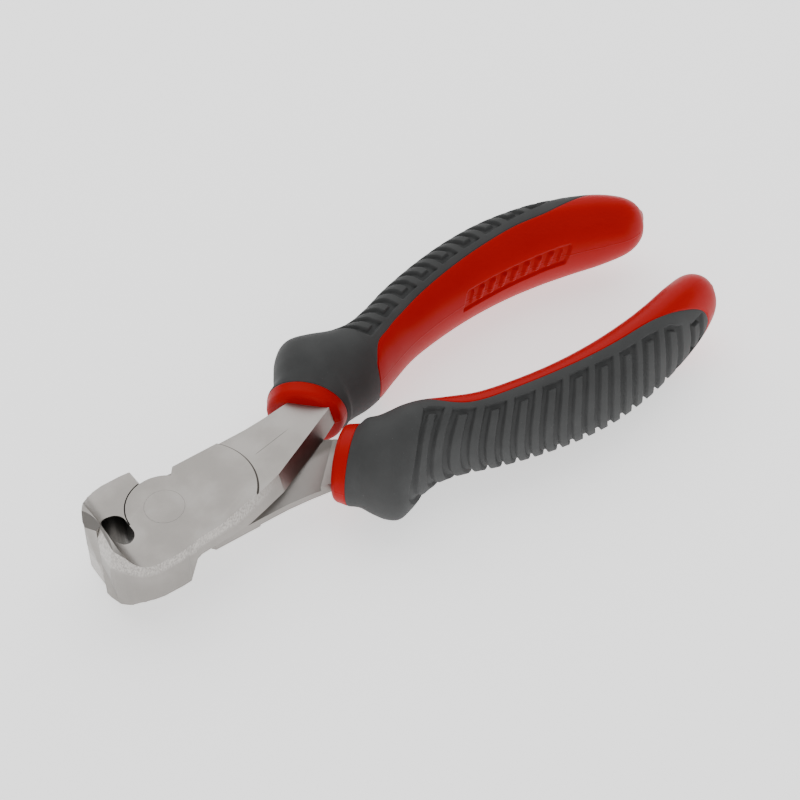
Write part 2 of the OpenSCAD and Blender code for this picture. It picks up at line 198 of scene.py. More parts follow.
class NIPPERS_PG_grooves(bpy.types.PropertyGroup):
    """Sizes of the grooved loops in the soft cover"""

    count: IntProperty(name="Loops", description="Number of groove loops", default=11, min=1, max=12)
    first: length("First loop", "Distance from the pivot to the first loop on the grip's face", 0.06395)
    pitch: length("Pitch", "Distance from one loop to the next", 0.0069)
    groove: length("Groove width", "Width of the groove", 0.00138)
    rib: length("Inner rib width", "Width of the short rib inside each loop", 0.0021)
    depth: length("Groove depth", "Depth of the groove", 0.001)
    soft: length("Edge softness", "Half the width of the rounding at a groove's edge", 0.00015)
    bow: length("Bow", "Distance out from the grip's middle line over which a groove bows", 0.0076)
    bow_power: number("Bow power", "How much a groove bows on its way out", 1.3)


class NIPPERS_PG_panel(bpy.types.PropertyGroup):
    """Sizes of the recessed panel on the inner side of each grip"""

    middle: length("Middle", "Distance from the pivot to the panel's middle", 0.107)
    lift: length("Lift", "Height of the panel's middle above the grip's middle plane", 0.0012)
    length: length("Length", "Length of the panel", 0.029)
    height: length("Height", "Height of the panel", 0.0058)
    depth: length("Depth", "Depth of the panel", 0.0006)
    corner: length("Corner", "Corner radius of the panel", 0.0006)
    slant: number("Slant", "Slope of the panel's ends and of its bars", 0.35)
    bar_pitch: length("Bar pitch", "Distance from one raised bar to the next", 0.0032)
    bar_width: length("Bar width", "Width of a raised bar", 0.0013)
    bar_height: length("Bar height", "Height of a raised bar across the panel", 0.0036)
    bar_length: length("Bar length", "Length of the part of the panel that has bars", 0.02494)
    soft: length("Edge softness", "Half the width of the rounding at the panel's edges", 0.00022)


class NIPPERS_PG_steel(bpy.types.PropertyGroup):
    """Finish of the forged steel"""

    light: colour("Light steel", "Colour of the steel where it is cleanest", (0.37, 0.35, 0.331))
    dark: colour("Dark steel", "Colour of the steel where it is dullest", (0.3, 0.283, 0.265))
    # The lap colour is painted shade. The faces between the halves take it, the pocket takes a darker copy, and
    # the upright sides take it partway
    lap: colour("Lap steel", "Colour of the dull faces on the lap", (0.2, 0.187, 0.172))
    roughness: share("Roughness", "Roughness of the satin faces", 0.4)
    # Above this height the near upright sides by the jaws are coarsely ground, and they are also painted lighter
    # as a highlight
    ground_roughness: share("Ground roughness", "Roughness of the ground sides", 0.36)
    ground_band: length("Ground band", "Height above the lap of the coarsely ground band", 0.0022)
    # The pocket between the jaws is painted shade, darker than the lap colour
    pocket: length("Pocket", "Place of the dull pocket's middle between the jaws along X", -0.0107, -1.0)
    pocket_shade_reach: length("Pocket reach", "Distance from the pocket's middle that is dull", 0.0056)
    nose: length("Nose", "Distance from the pivot to the jaws' noses at the lap", 0.018146)
    nose_lean: number("Nose lean", "Lean of the noses beside the joint's plates", 0.0722)
    edge: length("Edge rounding", "Width of the rounding on the forging's edges", 0.00028)
    edge_angle: angle("Edge angle", "Least angle of an edge that is rounded", math.radians(24))
    # The dark line at the step's foot and the fine crease are painted shade lines
    step_centre: length("Step centre", "Distance from the pivot to the middle of the step's arc", 0.009)
    step_radius: length("Step radius", "Radius of the step's arc", 0.0136)
    step_shade_line: length("Step line", "Width of the dark line at the step's foot", 0.0003)
    crease_start: length("Crease start", "Distance from the pivot to the start of the fine crease", 0.0249)
    crease_end: length("Crease end", "Distance from the pivot to the end of the fine crease", 0.0361)
    crease_side: length("Crease side", "Distance of the crease's start from the X axis", 0.0013)
    crease_slope: number("Crease slope", "Slope of the crease away from the X axis", 0.2)
    crease_width: length("Crease width", "Width of the fine crease", 0.00016)


class NIPPERS_PG_plastic(bpy.types.PropertyGroup):
    """Finish of the two plastics"""

    core: colour("Core", "Colour of the hard core", (0.44, 0.0, 0.0))
    cover: colour("Cover", "Colour of the soft cover", (0.054, 0.055, 0.055))
    core_roughness: share("Core roughness", "Roughness of the hard core", 0.4)
    cover_roughness: share("Cover roughness", "Roughness of the soft cover", 0.62)
    core_shine: share("Core shine", "Strength of the hard core's reflection", 0.1)
    cover_shine: share("Cover shine", "Strength of the soft cover's reflection", 0.14)
    parting: length("Parting line", "Height of the core's parting line above the lap", 0.0007)
    parting_width: length("Parting width", "Width of the core's parting line", 0.00022)


class NIPPERS_PG_studio(bpy.types.PropertyGroup):
    """Camera, floor and lights"""

    yaw: angle("Yaw", "Turn of the view to the tool's left", math.radians(30.04))
    pitch: angle("Pitch", "Tilt of the view below the horizon", math.radians(50.92))
    roll: angle("Roll", "Roll of the camera", math.radians(3.75))
    place: FloatVectorProperty(
        name="Camera place", description="Where the camera stands", default=(-0.19599, -0.44915, 0.64483),
        size=3, subtype="XYZ", unit="LENGTH",
    )
    lens: FloatProperty(name="Lens", description="Focal length", default=157.5, min=1.0, unit="CAMERA")
    sky: number("Sky", "Strength of the even light all round", 0.5)
    glow: number("Floor glow", "Light that the floor itself gives, to stay near white", 1.0)
    key: number("Key light", "Power of the large light above the tail", 9.0)
    fill: number("Fill light", "Power of the light at the camera's side", 2.7)


class NIPPERS_PG_all(bpy.types.PropertyGroup):
    """Everything that can be set"""

    grip: PointerProperty(type=NIPPERS_PG_grip)
    grooves: PointerProperty(type=NIPPERS_PG_grooves)
    panel: PointerProperty(type=NIPPERS_PG_panel)
    steel: PointerProperty(type=NIPPERS_PG_steel)
    plastic: PointerProperty(type=NIPPERS_PG_plastic)
    studio: PointerProperty(type=NIPPERS_PG_studio)


# Node helpers

def feed(tree, value, socket):
    """Links an output to a socket, or sets the socket's own value."""
    if isinstance(value, bpy.types.NodeSocket):
        tree.links.new(value, socket)
    else:
        socket.default_value = value


def feed_all(tree, node, inputs):
    for name, value in inputs.items():
        feed(tree, value, node.inputs[name])
    return node


def add_node(tree, kind, inputs=(), **options):
    """A new node with its options set and its inputs fed."""
    node = tree.nodes.new(kind)
    for name, value in options.items():
        setattr(node, name, value)
    return feed_all(tree, node, dict(inputs))


def calc(tree, operation, *values, clamp=False):
    return add_node(tree, "ShaderNodeMath", enumerate(values), operation=operation, use_clamp=clamp).outputs[0]


def times(tree, *factors):
    found = factors[0]
    for factor in factors[1:]:
        found = calc(tree, "MULTIPLY", found, factor)
    return found


def less(tree, value, part):
    return calc(tree, "SUBTRACT", value, part)


def ease(tree, value, start, end):
    """A smooth step of a value from start, where it is 0, to end, where it is 1."""
    inputs = {"Value": value, "From Min": start, "From Max": end}
    return add_node(tree, "ShaderNodeMapRange", inputs, interpolation_type="SMOOTHSTEP").outputs["Result"]


def away_from(tree, x, y):
    """Distance of a point from the origin of its plane."""
    return calc(tree, "SQRT", calc(tree, "ADD", calc(tree, "POWER", x, 2.0), calc(tree, "POWER", y, 2.0)))


# Geometry Nodes

def named_value(tree, name):
    inputs = {"Name": name}
    return add_node(tree, "GeometryNodeInputNamedAttribute", inputs, data_type="FLOAT").outputs["Attribute"]


def pressed_tree(name, sizes):
    """A tree with a geometry, a material and named lengths as inputs, and the node that reads them."""
    tree = bpy.data.node_groups.new(name, "GeometryNodeTree")
    face = tree.interface
    face.new_socket("Geometry", in_out="INPUT", socket_type="NodeSocketGeometry")
    face.new_socket("Material", in_out="INPUT", socket_type="NodeSocketMaterial")
    for size in sizes:
        face.new_socket(size, in_out="INPUT", socket_type="NodeSocketFloat")
    face.new_socket("Geometry", in_out="OUTPUT", socket_type="NodeSocketGeometry")
    return tree, tree.nodes.new("NodeGroupInput").outputs


def end_pressed_tree(tree, inputs, depth):
    """Presses the surface in by a depth, and ends the tree with the material."""
    normal = add_node(tree, "GeometryNodeInputNormal").outputs["Normal"]
    scaling = {0: normal, "Scale": times(tree, depth, -1.0)}
    offset = add_node(tree, "ShaderNodeVectorMath", scaling, operation="SCALE").outputs[0]
    steps = (("SetPosition", {"Offset": offset}), ("RealizeInstances", {}),
             ("SetMaterial", {"Material": inputs["Material"]}))
    made = inputs["Geometry"]
    for kind, values in steps:
        made = add_node(tree, "GeometryNode" + kind, {"Geometry": made, **values}).outputs["Geometry"]
    add_node(tree, "NodeGroupOutput", {"Geometry": made})
    return tree


def groove_tree():
    """Square-ended groove loops round short ribs. They follow the attributes along, counted in loops, and
    round and climb, the distance from the outermost line and that of the loops' ends."""
    tree, inputs = pressed_tree("Groove loops", ("Count", "Pitch", "Groove", "Rib", "Depth", "Soft"))
    groove, soft = inputs["Groove"], inputs["Soft"]
    along = named_value(tree, "along")
    nearest = calc(tree, "MAXIMUM", calc(tree, "ROUND", along), 0.0)
    nearest = calc(tree, "MINIMUM", nearest, less(tree, inputs["Count"], 1.0))
    aside = times(tree, less(tree, along, nearest), inputs["Pitch"])
    half_loop = times(tree, calc(tree, "ADD", groove, inputs["Rib"]), 0.5)
    straight = less(tree, named_value(tree, "climb"), half_loop)
    past = less(tree, named_value(tree, "round"), calc(tree, "MAXIMUM", straight, 0.0))
    past = calc(tree, "MAXIMUM", past, 0.0)
    away = calc(tree, "MAXIMUM", calc(tree, "ABSOLUTE", aside), past)
    off_line = calc(tree, "ABSOLUTE", less(tree, away, half_loop))
    half = times(tree, groove, 0.5)
    cut = ease(tree, off_line, calc(tree, "ADD", half, soft), less(tree, half, soft))
    return end_pressed_tree(tree, inputs, times(tree, cut, inputs["Depth"]))


def panel_tree():
    """A recessed panel with raised bars, on the attributes panel_x and panel_z."""
    names = ("Length", "Height", "Depth", "Corner", "Slant", "Bar pitch", "Bar width", "Bar height",
             "Bar length", "Soft")
    tree, inputs = pressed_tree("Barred panel", names)
    soft, pitch = inputs["Soft"], inputs["Bar pitch"]
    up = named_value(tree, "panel_z")
    along = less(tree, named_value(tree, "panel_x"), times(tree, up, inputs["Slant"]))

    def past(value, size):
        """How far a value lies past half a size."""
        return less(tree, calc(tree, "ABSOLUTE", value), times(tree, inputs[size], 0.5))

    def past_corner(value, size):
        return calc(tree, "MAXIMUM", calc(tree, "ADD", past(value, size), inputs["Corner"]), 0.0)

    def inside(edge):
        return ease(tree, edge, soft, times(tree, soft, -1.0))

    rim = less(tree, away_from(tree, past_corner(along, "Length"), past_corner(up, "Height")), inputs["Corner"])
    nearest = times(tree, calc(tree, "ROUND", calc(tree, "DIVIDE", along, pitch)), pitch)
    edge = calc(tree, "MAXIMUM", past(less(tree, along, nearest), "Bar width"), past(up, "Bar height"))
    edge = calc(tree, "MAXIMUM", edge, past(along, "Bar length"))
    open_share = calc(tree, "SUBTRACT", inside(rim), inside(edge), clamp=True)
    return end_pressed_tree(tree, inputs, times(tree, open_share, inputs["Depth"]))


def press(piece, tree, material, sizes):
    """Applies a tree to a piece, with the size of the same name for each input, and leaves a plain mesh."""
    modifier = piece.modifiers.new(tree.name, "NODES")
    modifier.node_group = tree
    for socket in tree.interface.items_tree:
        if socket.in_out == "INPUT" and socket.name == "Material":
            modifier[socket.identifier] = material
        elif socket.in_out == "INPUT" and socket.name != "Geometry":
            modifier[socket.identifier] = float(getattr(sizes, socket.name.lower().replace(" ", "_")))
    settle(piece)


def settle(piece):
    """Turns a piece with its modifiers into a plain mesh."""
    bpy.context.view_layer.update()
    mesh = bpy.data.meshes.new_from_object(piece.evaluated_get(bpy.context.evaluated_depsgraph_get()))
    piece.modifiers.clear()
    piece.data = mesh


# Materials

# Noise patterns: scale per metre, detail and roughness. A stretched one has its scale along each axis and its
# turn as well.
BLOTCHES = (90.0, 3.0, 0.5)
GRAIN = (2600.0, 3.0, 0.6)
SCRATCHES = (1.0, 2.0, 0.5, (60, 2400, 2400), (0, 0, math.radians(24)))
STROKES = (1.0, 3.0, 0.65, (2600, 2600, 1300), (0, math.radians(8), 0))
CORE_CLOUDS = (60.0, 2.0, 0.5)
CORE_SKIN = (1400.0, 3.0, 0.6)
COVER_PATCHES = (160.0, 3.0, 0.5)
COVER_SPECKS = (1900.0, 1.0, 0.5)
COVER_SKIN = (2400.0, 3.0, 0.65)

# Relief of the surfaces: height in metres and strength
GRAIN_BUMP = (0.00002, 0.35)
SCRATCH_BUMP = (0.00001, 0.3)
STROKE_BUMP = (0.00004, 0.3)
CORE_BUMP = (0.00002, 0.25)
PARTING_BUMP = (0.0001, 0.7)
COVER_BUMP = (0.00004, 0.4)

# Where each fade of the steel starts and where it is full, by how far a face looks off the lap, by the height
# off the lap, by X and by Y, and widths of fades at sizes that can be set
UPRIGHT = (0.75, 0.35)
FLAT = (0.8, 0.95)
FACING_LAP = (-0.5, -0.8)
NEAR_LAP = (0.0012, 0.0006)
ARM = (0.012, 0.015)
HIGHLIGHT_BY_X = (0.03, 0.012)
STROKES_BY_Y = (0.001, -0.001)
BAND_FADE = 0.0016
POCKET_FADE = 0.0004
CREASE_FADE_IN = 0.001
CREASE_FADE_OUT = 0.003

# The same for the noise patterns
BLOTCH_FADE = (0.35, 0.68)
STROKE_FADE = (0.35, 0.65)
SCRATCH_FADE = (0.62, 0.72)
SPECK_FADE = (0.77, 0.83)

# Shares of a roughness between which it follows a pattern, and what a scratch takes off it
SATIN_RANGE = (0.8, 1.25)
GROUND_RANGE = (0.7, 1.4)
CORE_RANGE = (0.85, 1.2)
COVER_RANGE = (0.9, 1.15)
SCRATCH_GLOSS = -0.08

# The steel's painted shade lines at the step's foot and along the crease, and how far its upright sides are
# painted darker, towards the lap's painted shade colour
SHADE_LINE_COLOUR = (0.05, 0.045, 0.04)
CREASE_SHADE_STRENGTH = 0.75
UPRIGHT_SHADE = 0.35

# Factors on a colour: steel in the painted highlight of its ground streaks and in the painted shade of the pocket,
# core in its darker clouds, and cover in its darker and its lighter patches and in its specks
STREAK_HIGHLIGHT_TINT = 1.3
POCKET_SHADE_TINT = 0.4
CLOUD_TINT = 0.86
PATCH_TINTS = (0.8, 1.25)
SPECK_TINT = 2.0


def new_material(name):
    material = bpy.data.materials.new(name)
    material.use_nodes = True
    tree = material.node_tree
    return material, tree, tree.nodes["Principled BSDF"]


def tinted(colour_value, factor):
    """A colour times a factor."""
    return tuple(min(c * factor, 1.0) for c in colour_value)


def axes(tree, vector):
    """The X, Y and Z of a vector by name."""
    return add_node(tree, "ShaderNodeSeparateXYZ", {0: vector}).outputs


def place_on(tree, scale=(1, 1, 1), turn=(0, 0, 0)):
    """Object coordinates, turned and then scaled."""
    coordinates = add_node(tree, "ShaderNodeTexCoord").outputs["Object"]
    inputs = {"Vector": coordinates, "Rotation": turn, "Scale": [1 / s for s in scale]}
    return add_node(tree, "ShaderNodeMapping", inputs, vector_type="TEXTURE").outputs["Vector"]


def noise(tree, scale, detail, rough, *stretch):
    inputs = {"Vector": place_on(tree, *stretch), "Scale": scale, "Detail": detail, "Roughness": rough}
    return add_node(tree, "ShaderNodeTexNoise", inputs).outputs["Fac"]


def blend_colours(tree, factor, first, second):
    node = add_node(tree, "ShaderNodeMix", {"Factor": factor}, data_type="RGBA")
    for value, socket in zip((first, second), (s for s in node.inputs if s.type == "RGBA")):
        feed(tree, value if isinstance(value, bpy.types.NodeSocket) else (*value, 1.0), socket)
    return [s for s in node.outputs if s.type == "RGBA"][0]


def blend_values(tree, factor, first, second):
    """first where the factor is 0 and second where it is 1."""
    return calc(tree, "MULTIPLY_ADD", factor, less(tree, second, first), first)


def varied(tree, pattern, value, shares):
    """A value that follows a pattern between two shares of it."""
    return blend_values(tree, pattern, value * shares[0], value * shares[1])


def bump(tree, height, distance, strength, under=None):
    inputs = {"Height": height, "Distance": distance, "Strength": strength}
    if under is not None:
        inputs["Normal"] = under
    return add_node(tree, "ShaderNodeBump", inputs).outputs["Normal"]


def band(tree, value, middle, width):
    """1 inside a line of a width about a middle value, 0 outside, with soft edges."""
    return ease(tree, calc(tree, "ABSOLUTE", less(tree, value, middle)), width / 2, width / 4)


def upper_places(tree):
    """Places as on the upper half: X, Y, the height off the lap, and how far the surface looks away from it."""
    normal = axes(tree, add_node(tree, "ShaderNodeNewGeometry").outputs["Normal"])
    place = axes(tree, place_on(tree))
    above = less(tree, place["Z"], LAP_Z)
    side = calc(tree, "SIGN", above)
    return place["X"], times(tree, place["Y"], side), calc(tree, "ABSOLUTE", above), times(tree, normal["Z"], side)


def steel_shade_lines(tree, steel, x, y, facing):
    """Painted shade lines: a dark line in the corner at the step's foot and another along the fine crease on the
    arm.
    """
    flat = ease(tree, facing, *FLAT)
    radius = away_from(tree, less(tree, x, steel.step_centre), y)
    foot_shade_line = band(tree, radius, steel.step_radius + steel.step_shade_line / 2, steel.step_shade_line * 2)
    foot = times(tree, foot_shade_line, flat, ease(tree, x, *ARM))
    along = less(tree, x, steel.crease_start)
    line_y = calc(tree, "MULTIPLY_ADD", along, steel.crease_slope, steel.crease_side)
    fade_in = ease(tree, x, steel.crease_start, steel.crease_start + CREASE_FADE_IN)
    fade_out = ease(tree, x, steel.crease_end, steel.crease_end - CREASE_FADE_OUT)
    crease = times(tree, band(tree, y, line_y, steel.crease_width), flat, fade_in, fade_out)
    return calc(tree, "MAXIMUM", foot, times(tree, crease, CREASE_SHADE_STRENGTH))


def steel_material(name, steel):
    """Satin forged steel with a fine grain, ground on its upright sides, with painted shade on the faces between
    the halves at the lap, on the upright sides and in the pocket, a painted highlight on the ground band of the
    near sides by the jaws, and painted shade lines at the step's foot and along a fine crease on the arm."""
    material, tree, shader = new_material(name)
    x, y, height, facing = upper_places(tree)
    upright = ease(tree, calc(tree, "ABSOLUTE", facing), *UPRIGHT)
    # Painted shade on the faces that turn towards the other half near the lap, where the two halves overlap
    lap_shade = times(tree, ease(tree, facing, *FACING_LAP), ease(tree, height, *NEAR_LAP))
    grain = noise(tree, *GRAIN)
    scratch = noise(tree, *SCRATCHES)
    strokes = noise(tree, *STROKES)

    blotch = ease(tree, noise(tree, *BLOTCHES), *BLOTCH_FADE)
    base = blend_colours(tree, blotch, tuple(steel.dark), tuple(steel.light))
    base = blend_colours(tree, lap_shade, base, tuple(steel.lap))
    # Painted shade: the upright sides are darkened partway towards the lap colour
    base = blend_colours(tree, times(tree, upright, UPRIGHT_SHADE), base, tuple(steel.lap))
    # Painted highlight: a lighter streaked band high on the near upright sides by the jaws, over the real ground
    # strokes
    band_end = ease(tree, height, steel.ground_band, steel.ground_band + BAND_FADE)
    ground = times(tree, upright, band_end, ease(tree, y, *STROKES_BY_Y))
    streak_highlight = times(tree, ground, ease(tree, strokes, *STROKE_FADE), ease(tree, x, *HIGHLIGHT_BY_X))
    base = blend_colours(tree, streak_highlight, base, tinted(steel.light, STREAK_HIGHLIGHT_TINT))
    # Painted shade in the pocket between the jaws
    from_pocket = away_from(tree, less(tree, x, steel.pocket), y)
    pocket = ease(tree, from_pocket, steel.pocket_shade_reach, steel.pocket_shade_reach - POCKET_FADE)
    base = blend_colours(tree, times(tree, pocket, upright), base, tinted(steel.lap, POCKET_SHADE_TINT))
    # Painted shade lines at the step's foot and along the crease
    base = blend_colours(tree, steel_shade_lines(tree, steel, x, y, facing), base, SHADE_LINE_COLOUR)

    gloss = times(tree, ease(tree, scratch, *SCRATCH_FADE), SCRATCH_GLOSS)
    satin = calc(tree, "ADD", varied(tree, grain, steel.roughness, SATIN_RANGE), gloss)
    rough = varied(tree, strokes, steel.ground_roughness, GROUND_RANGE)
    fine = bump(tree, scratch, *SCRATCH_BUMP, bump(tree, grain, *GRAIN_BUMP))
    feed_all(tree, shader, {
        "Base Color": base,
        "Metallic": 1.0,
        "Roughness": blend_values(tree, upright, satin, rough),
        "Normal": bump(tree, times(tree, strokes, ground), *STROKE_BUMP, fine),
    })
    return material


def core_material(plastic):
    """Hard, slightly glossy plastic with a faint moulded texture and a parting line."""
    material, tree, shader = new_material("hard_red_plastic")
    skin = noise(tree, *CORE_SKIN)
    clouds = noise(tree, *CORE_CLOUDS)
    height = axes(tree, place_on(tree))["Z"]
    line = band(tree, height, LAP_Z + plastic.parting, plastic.parting_width * 2)
    feed_all(tree, shader, {
        "Base Color": blend_colours(tree, clouds, tinted(plastic.core, CLOUD_TINT), tuple(plastic.core)),
        "Specular IOR Level": plastic.core_shine,
        "Roughness": varied(tree, skin, plastic.core_roughness, CORE_RANGE),
        "Normal": bump(tree, line, *PARTING_BUMP, bump(tree, skin, *CORE_BUMP)),
    })
    return material


def cover_material(plastic):
    """Soft matte rubber with a pebbled skin and pale specks of dust."""
    material, tree, shader = new_material("soft_grey_rubber")
    skin = noise(tree, *COVER_SKIN)
    patches = noise(tree, *COVER_PATCHES)
    base = blend_colours(tree, patches, *(tinted(plastic.cover, tint) for tint in PATCH_TINTS))
    specks = ease(tree, noise(tree, *COVER_SPECKS), *SPECK_FADE)
    feed_all(tree, shader, {
        "Base Color": blend_colours(tree, specks, base, tinted(plastic.cover, SPECK_TINT)),
        "Specular IOR Level": plastic.cover_shine,
        "Roughness": varied(tree, skin, plastic.cover_roughness, COVER_RANGE),
        "Normal": bump(tree, skin, *COVER_BUMP),
    })
    return material


# Form of the grips

def collar_row(grip, reach, radius):
    """A row of the form on a plane square to the collar's slant."""
    c, s = math.cos(grip.collar_slant), math.sin(grip.collar_slant)
    ends = [(reach * c + side * s, reach * s - side * c)
            for side in (grip.collar_side - radius, grip.collar_side + radius)]
    return [*ends[0], *ends[1], radius]


def form_rows(grip):
    rows = [
        collar_row(grip, grip.collar_reach, grip.collar_front - grip.collar_round),
        collar_row(grip, grip.collar_reach + grip.collar_round, grip.collar_front),
        collar_row(grip, grip.collar_reach + grip.collar_width, grip.collar_back),
    ]
    scale = np.array([grip.tip, grip.reach, grip.tip, grip.reach, grip.thickness / 2])
    return np.vstack([rows, np.array(GRIP_ROW_SHARES) * scale])


def catmull(points, places):
    """Values of a smooth curve through points, at places counted in points."""
    last = len(points) - 1
    i = np.clip(np.floor(places).astype(int), 0, last - 1)
    u = (places - i)[:, None]
    p0, p1, p2, p3 = (points[np.clip(i + n, 0, last)] for n in (-1, 0, 1, 2))
    return (p1 + (p2 - p0) * u / 2 + (p0 - p1 * 2.5 + p2 * 2 - p3 / 2) * u ** 2
            + (p1 * 1.5 - p0 / 2 - p2 * 1.5 + p3 / 2) * u ** 3)


def sections(grip, places):
    """Sections of the form at places counted in rows, with a true rounding and straight sides at the collar."""
    rows = form_rows(grip)
    found = catmull(rows, places)
    for n, k in enumerate(places):
        if k < 1:
            turn = math.pi / 2 * k
            reach = grip.collar_reach + grip.collar_round * (1 - math.cos(turn))
            radius = grip.collar_front - grip.collar_round * (1 - math.sin(turn))
            found[n] = collar_row(grip, reach, radius)
        elif k < COLLAR_END:
            found[n] = rows[1] * (COLLAR_END - k) + rows[COLLAR_END] * (k - 1)
    return found


def spaced(grip, start, end, spacing):
    """Places from start to end whose sections are about a spacing apart."""
    places = np.linspace(start, end, TRAVEL_SAMPLES)
    form = sections(grip, places)
    steps = np.diff(form, axis=0)
    travel = np.maximum(np.hypot(steps[:, 0], steps[:, 1]), np.hypot(steps[:, 2], steps[:, 3]))
    total = np.concatenate([[0], np.cumsum(travel)])
    count = max(int(math.ceil(total[-1] / spacing)), 1)
    return np.interp(np.linspace(0, total[-1], count + 1), total, places)


def stretches(grip, stops, spacings):
    """Places of the sections between stops, a list for each stretch, each without its first place."""
    return [spaced(grip, a, b, spacing)[1:] for a, b, spacing in zip(stops, stops[1:], spacings)]


def edge_line(grip, face):
    """The soft cover's edge on one face, 0 for the one that the upper grip shows, as a fine line."""
    points = np.array(COVER_EDGE_SHARES)[:, [0, 1 + face]] * [grip.tip, grip.reach]
    return catmull(points, np.linspace(0, len(points) - 1, len(points) * EDGE_SAMPLES))


def cover_angles(grip, form):
    """How far round each section the soft cover reaches from the outermost line, on either face."""
    found = []
    for face in range(2):
        edge = edge_line(grip, face)
        angles = np.zeros(len(form))
        for n, (ox, oy, ix, iy) in enumerate(form[:, :4]):
            middle = np.array([ox + ix, oy + iy]) / 2
            half = np.array([ox - ix, oy - iy]) / 2
            size = np.hypot(*half)
            out = half / size
            sides = (edge[:, 0] - middle[0]) * out[1] - (edge[:, 1] - middle[1]) * out[0]
            reach = (edge - middle) @ out / size
            crossing = np.nonzero(sides[:-1] * sides[1:] <= 0)[0]
            if len(crossing) == 0:
                angles[n] = 0 if middle[0] > edge[len(edge) // 2, 0] else math.pi
                continue
            j = crossing[-1]
            share_of_step = sides[j] / (sides[j] - sides[j + 1] + 1e-12)
            s = reach[j] + (reach[j + 1] - reach[j]) * share_of_step
            angles[n] = math.acos(min(max(s, -1), 1))
        found.append(angles)
    return np.array(found)


def open_stretch(grip):
    """The last place at which the soft cover still goes all the way round, and the place where it ends."""
    places = np.linspace(COLLAR_END, len(GRIP_ROW_SHARES), TRAVEL_SAMPLES)
    angles = cover_angles(grip, sections(grip, places))
    opened = np.nonzero(angles.min(axis=0) < math.pi)[0][0]
    closed = np.nonzero(angles.max(axis=0)[opened:] <= 0)[0][0] + opened
    return places[opened - 1], places[closed]


def edge_distance(points, line):
    """Distance of points in plan from a line."""
    best = np.full(len(points), FAR)
    for a, b in zip(line[:-1], line[1:]):
        step = b - a
        t = np.clip((points - a) @ step / (step @ step + 1e-18), 0, 1)
        gap = points - a - t[:, None] * step
        best = np.minimum(best, np.hypot(gap[:, 0], gap[:, 1]))
    return best


def ring_points(form, turns, inset):
    """Points of sections at angles round them, drawn in by an inset."""
    outer, inner = form[:, 0:2], form[:, 2:4]
    middle = (outer + inner) / 2
    half = (outer - inner) / 2
    size = np.hypot(half[:, 0], half[:, 1])[:, None]
    out = half / size
    across = (size - inset) * np.cos(turns)
    x = middle[:, :1] + out[:, :1] * across
    y = middle[:, 1:] + out[:, 1:] * across
    z = LAP_Z + (form[:, 4:5] - inset) * np.sin(turns)
    return np.stack([x, y, z], axis=2)


def local_radius(form, angles):
    """How far the surface of each section moves for one unit of angle."""
    size = np.hypot(form[:, 0] - form[:, 2], form[:, 1] - form[:, 3]) / 2
    return np.sqrt((size * np.sin(angles)) ** 2 + (form[:, 4] * np.cos(angles)) ** 2)


def turns_between(form, start, end, count):
    """Angles from start to end of each section, close together near both ends."""
    near = SEAM_STEPS[None, :] * (SEAM_SPACING / local_radius(form, start))[:, None]
    limit = ((end - start) * SEAM_SHARE)[:, None]
    near = np.minimum(near, limit * SEAM_STEPS[None, :] / SEAM_STEPS[-1])
    middle = np.linspace(0, 1, count - 2 * len(SEAM_STEPS) + 2)[None, 1:-1]
    inner_start = start[:, None] + near[:, -1:]
    inner_end = end[:, None] - near[:, -1:]
    between = inner_start + (inner_end - inner_start) * middle
    return np.hstack([start[:, None] + near, between, end[:, None] - near[:, ::-1]])


def seam_inset(grip, points):
    """How far the surface is rounded in beside the seams between the two plastics."""
    flat = points.reshape(-1, 3)
    slant = grip.collar_slant
    plane = flat[:, 0] * math.cos(slant) + flat[:, 1] * math.sin(slant)
    gap = np.abs(plane - grip.collar_reach - grip.collar_width)
    raised = flat[:, 2] > LAP_Z
    for face, there in enumerate((raised, ~raised)):
        gap[there] = np.minimum(gap[there], edge_distance(flat[there, :2], edge_line(grip, face)))
    near = np.clip(1 - gap / grip.seam_width, 0, 1)
    return (grip.seam_depth * near ** 2).reshape(points.shape[:2])


def grid_faces(first, rows, columns, closed=False):
    """Faces of a grid of vertices whose numbers start at first."""
    faces = []
    width = columns if closed else columns - 1
    for i in range(rows - 1):
        for j in range(width):
            a = first + i * columns + j
            b = first + i * columns + (j + 1) % columns
            faces.append((a, b, b + columns, a + columns))
    return faces


def new_piece(name, points, faces, values, turned):
    """A closed smooth mesh from points and faces, with point values kept as attributes."""
    mesh = bpy.data.meshes.new(name)
    mesh.from_pydata(points, [], faces)
    for key, numbers in values.items():
        mesh.attributes.new(key, "FLOAT", "POINT").data.foreach_set("value", np.asarray(numbers, np.float32))
    work = bmesh.new()
    work.from_mesh(mesh)
    bmesh.ops.remove_doubles(work, verts=work.verts, dist=MERGE)
    bmesh.ops.dissolve_degenerate(work, edges=work.edges, dist=MERGE)
    bmesh.ops.recalc_face_normals(work, faces=work.faces)
    for face in work.faces:
        face.smooth = True
    work.to_mesh(mesh)
    work.free()
    if turned:
        centre = Matrix.Translation((0, 0, LAP_Z))
        mesh.transform(centre @ Matrix.Rotation(math.pi, 4, "X") @ centre.inverted())
    piece = bpy.data.objects.new(name, mesh)
    bpy.context.scene.collection.objects.link(piece)
    return piece


def cover_room(grip, form, angles):
    """Share of the cover's thickness that has room at each section, as the cover runs out at the tail."""
    return np.clip(angles.mean(axis=0) * local_radius(form, 0) / grip.cover, 0, 1)[:, None]


def tail_cap(grip, ring):
    """Rings that round off the tail behind its last ring."""
    middle = ring.mean(axis=0)
    out = np.array([grip.tail_round, 0, 0])
    turns = np.linspace(0, math.pi / 2, ROUNDING_STEPS + 1)[1:-1]
    return np.array([middle + (ring - middle) * math.cos(a) + out * math.sin(a) for a in turns])


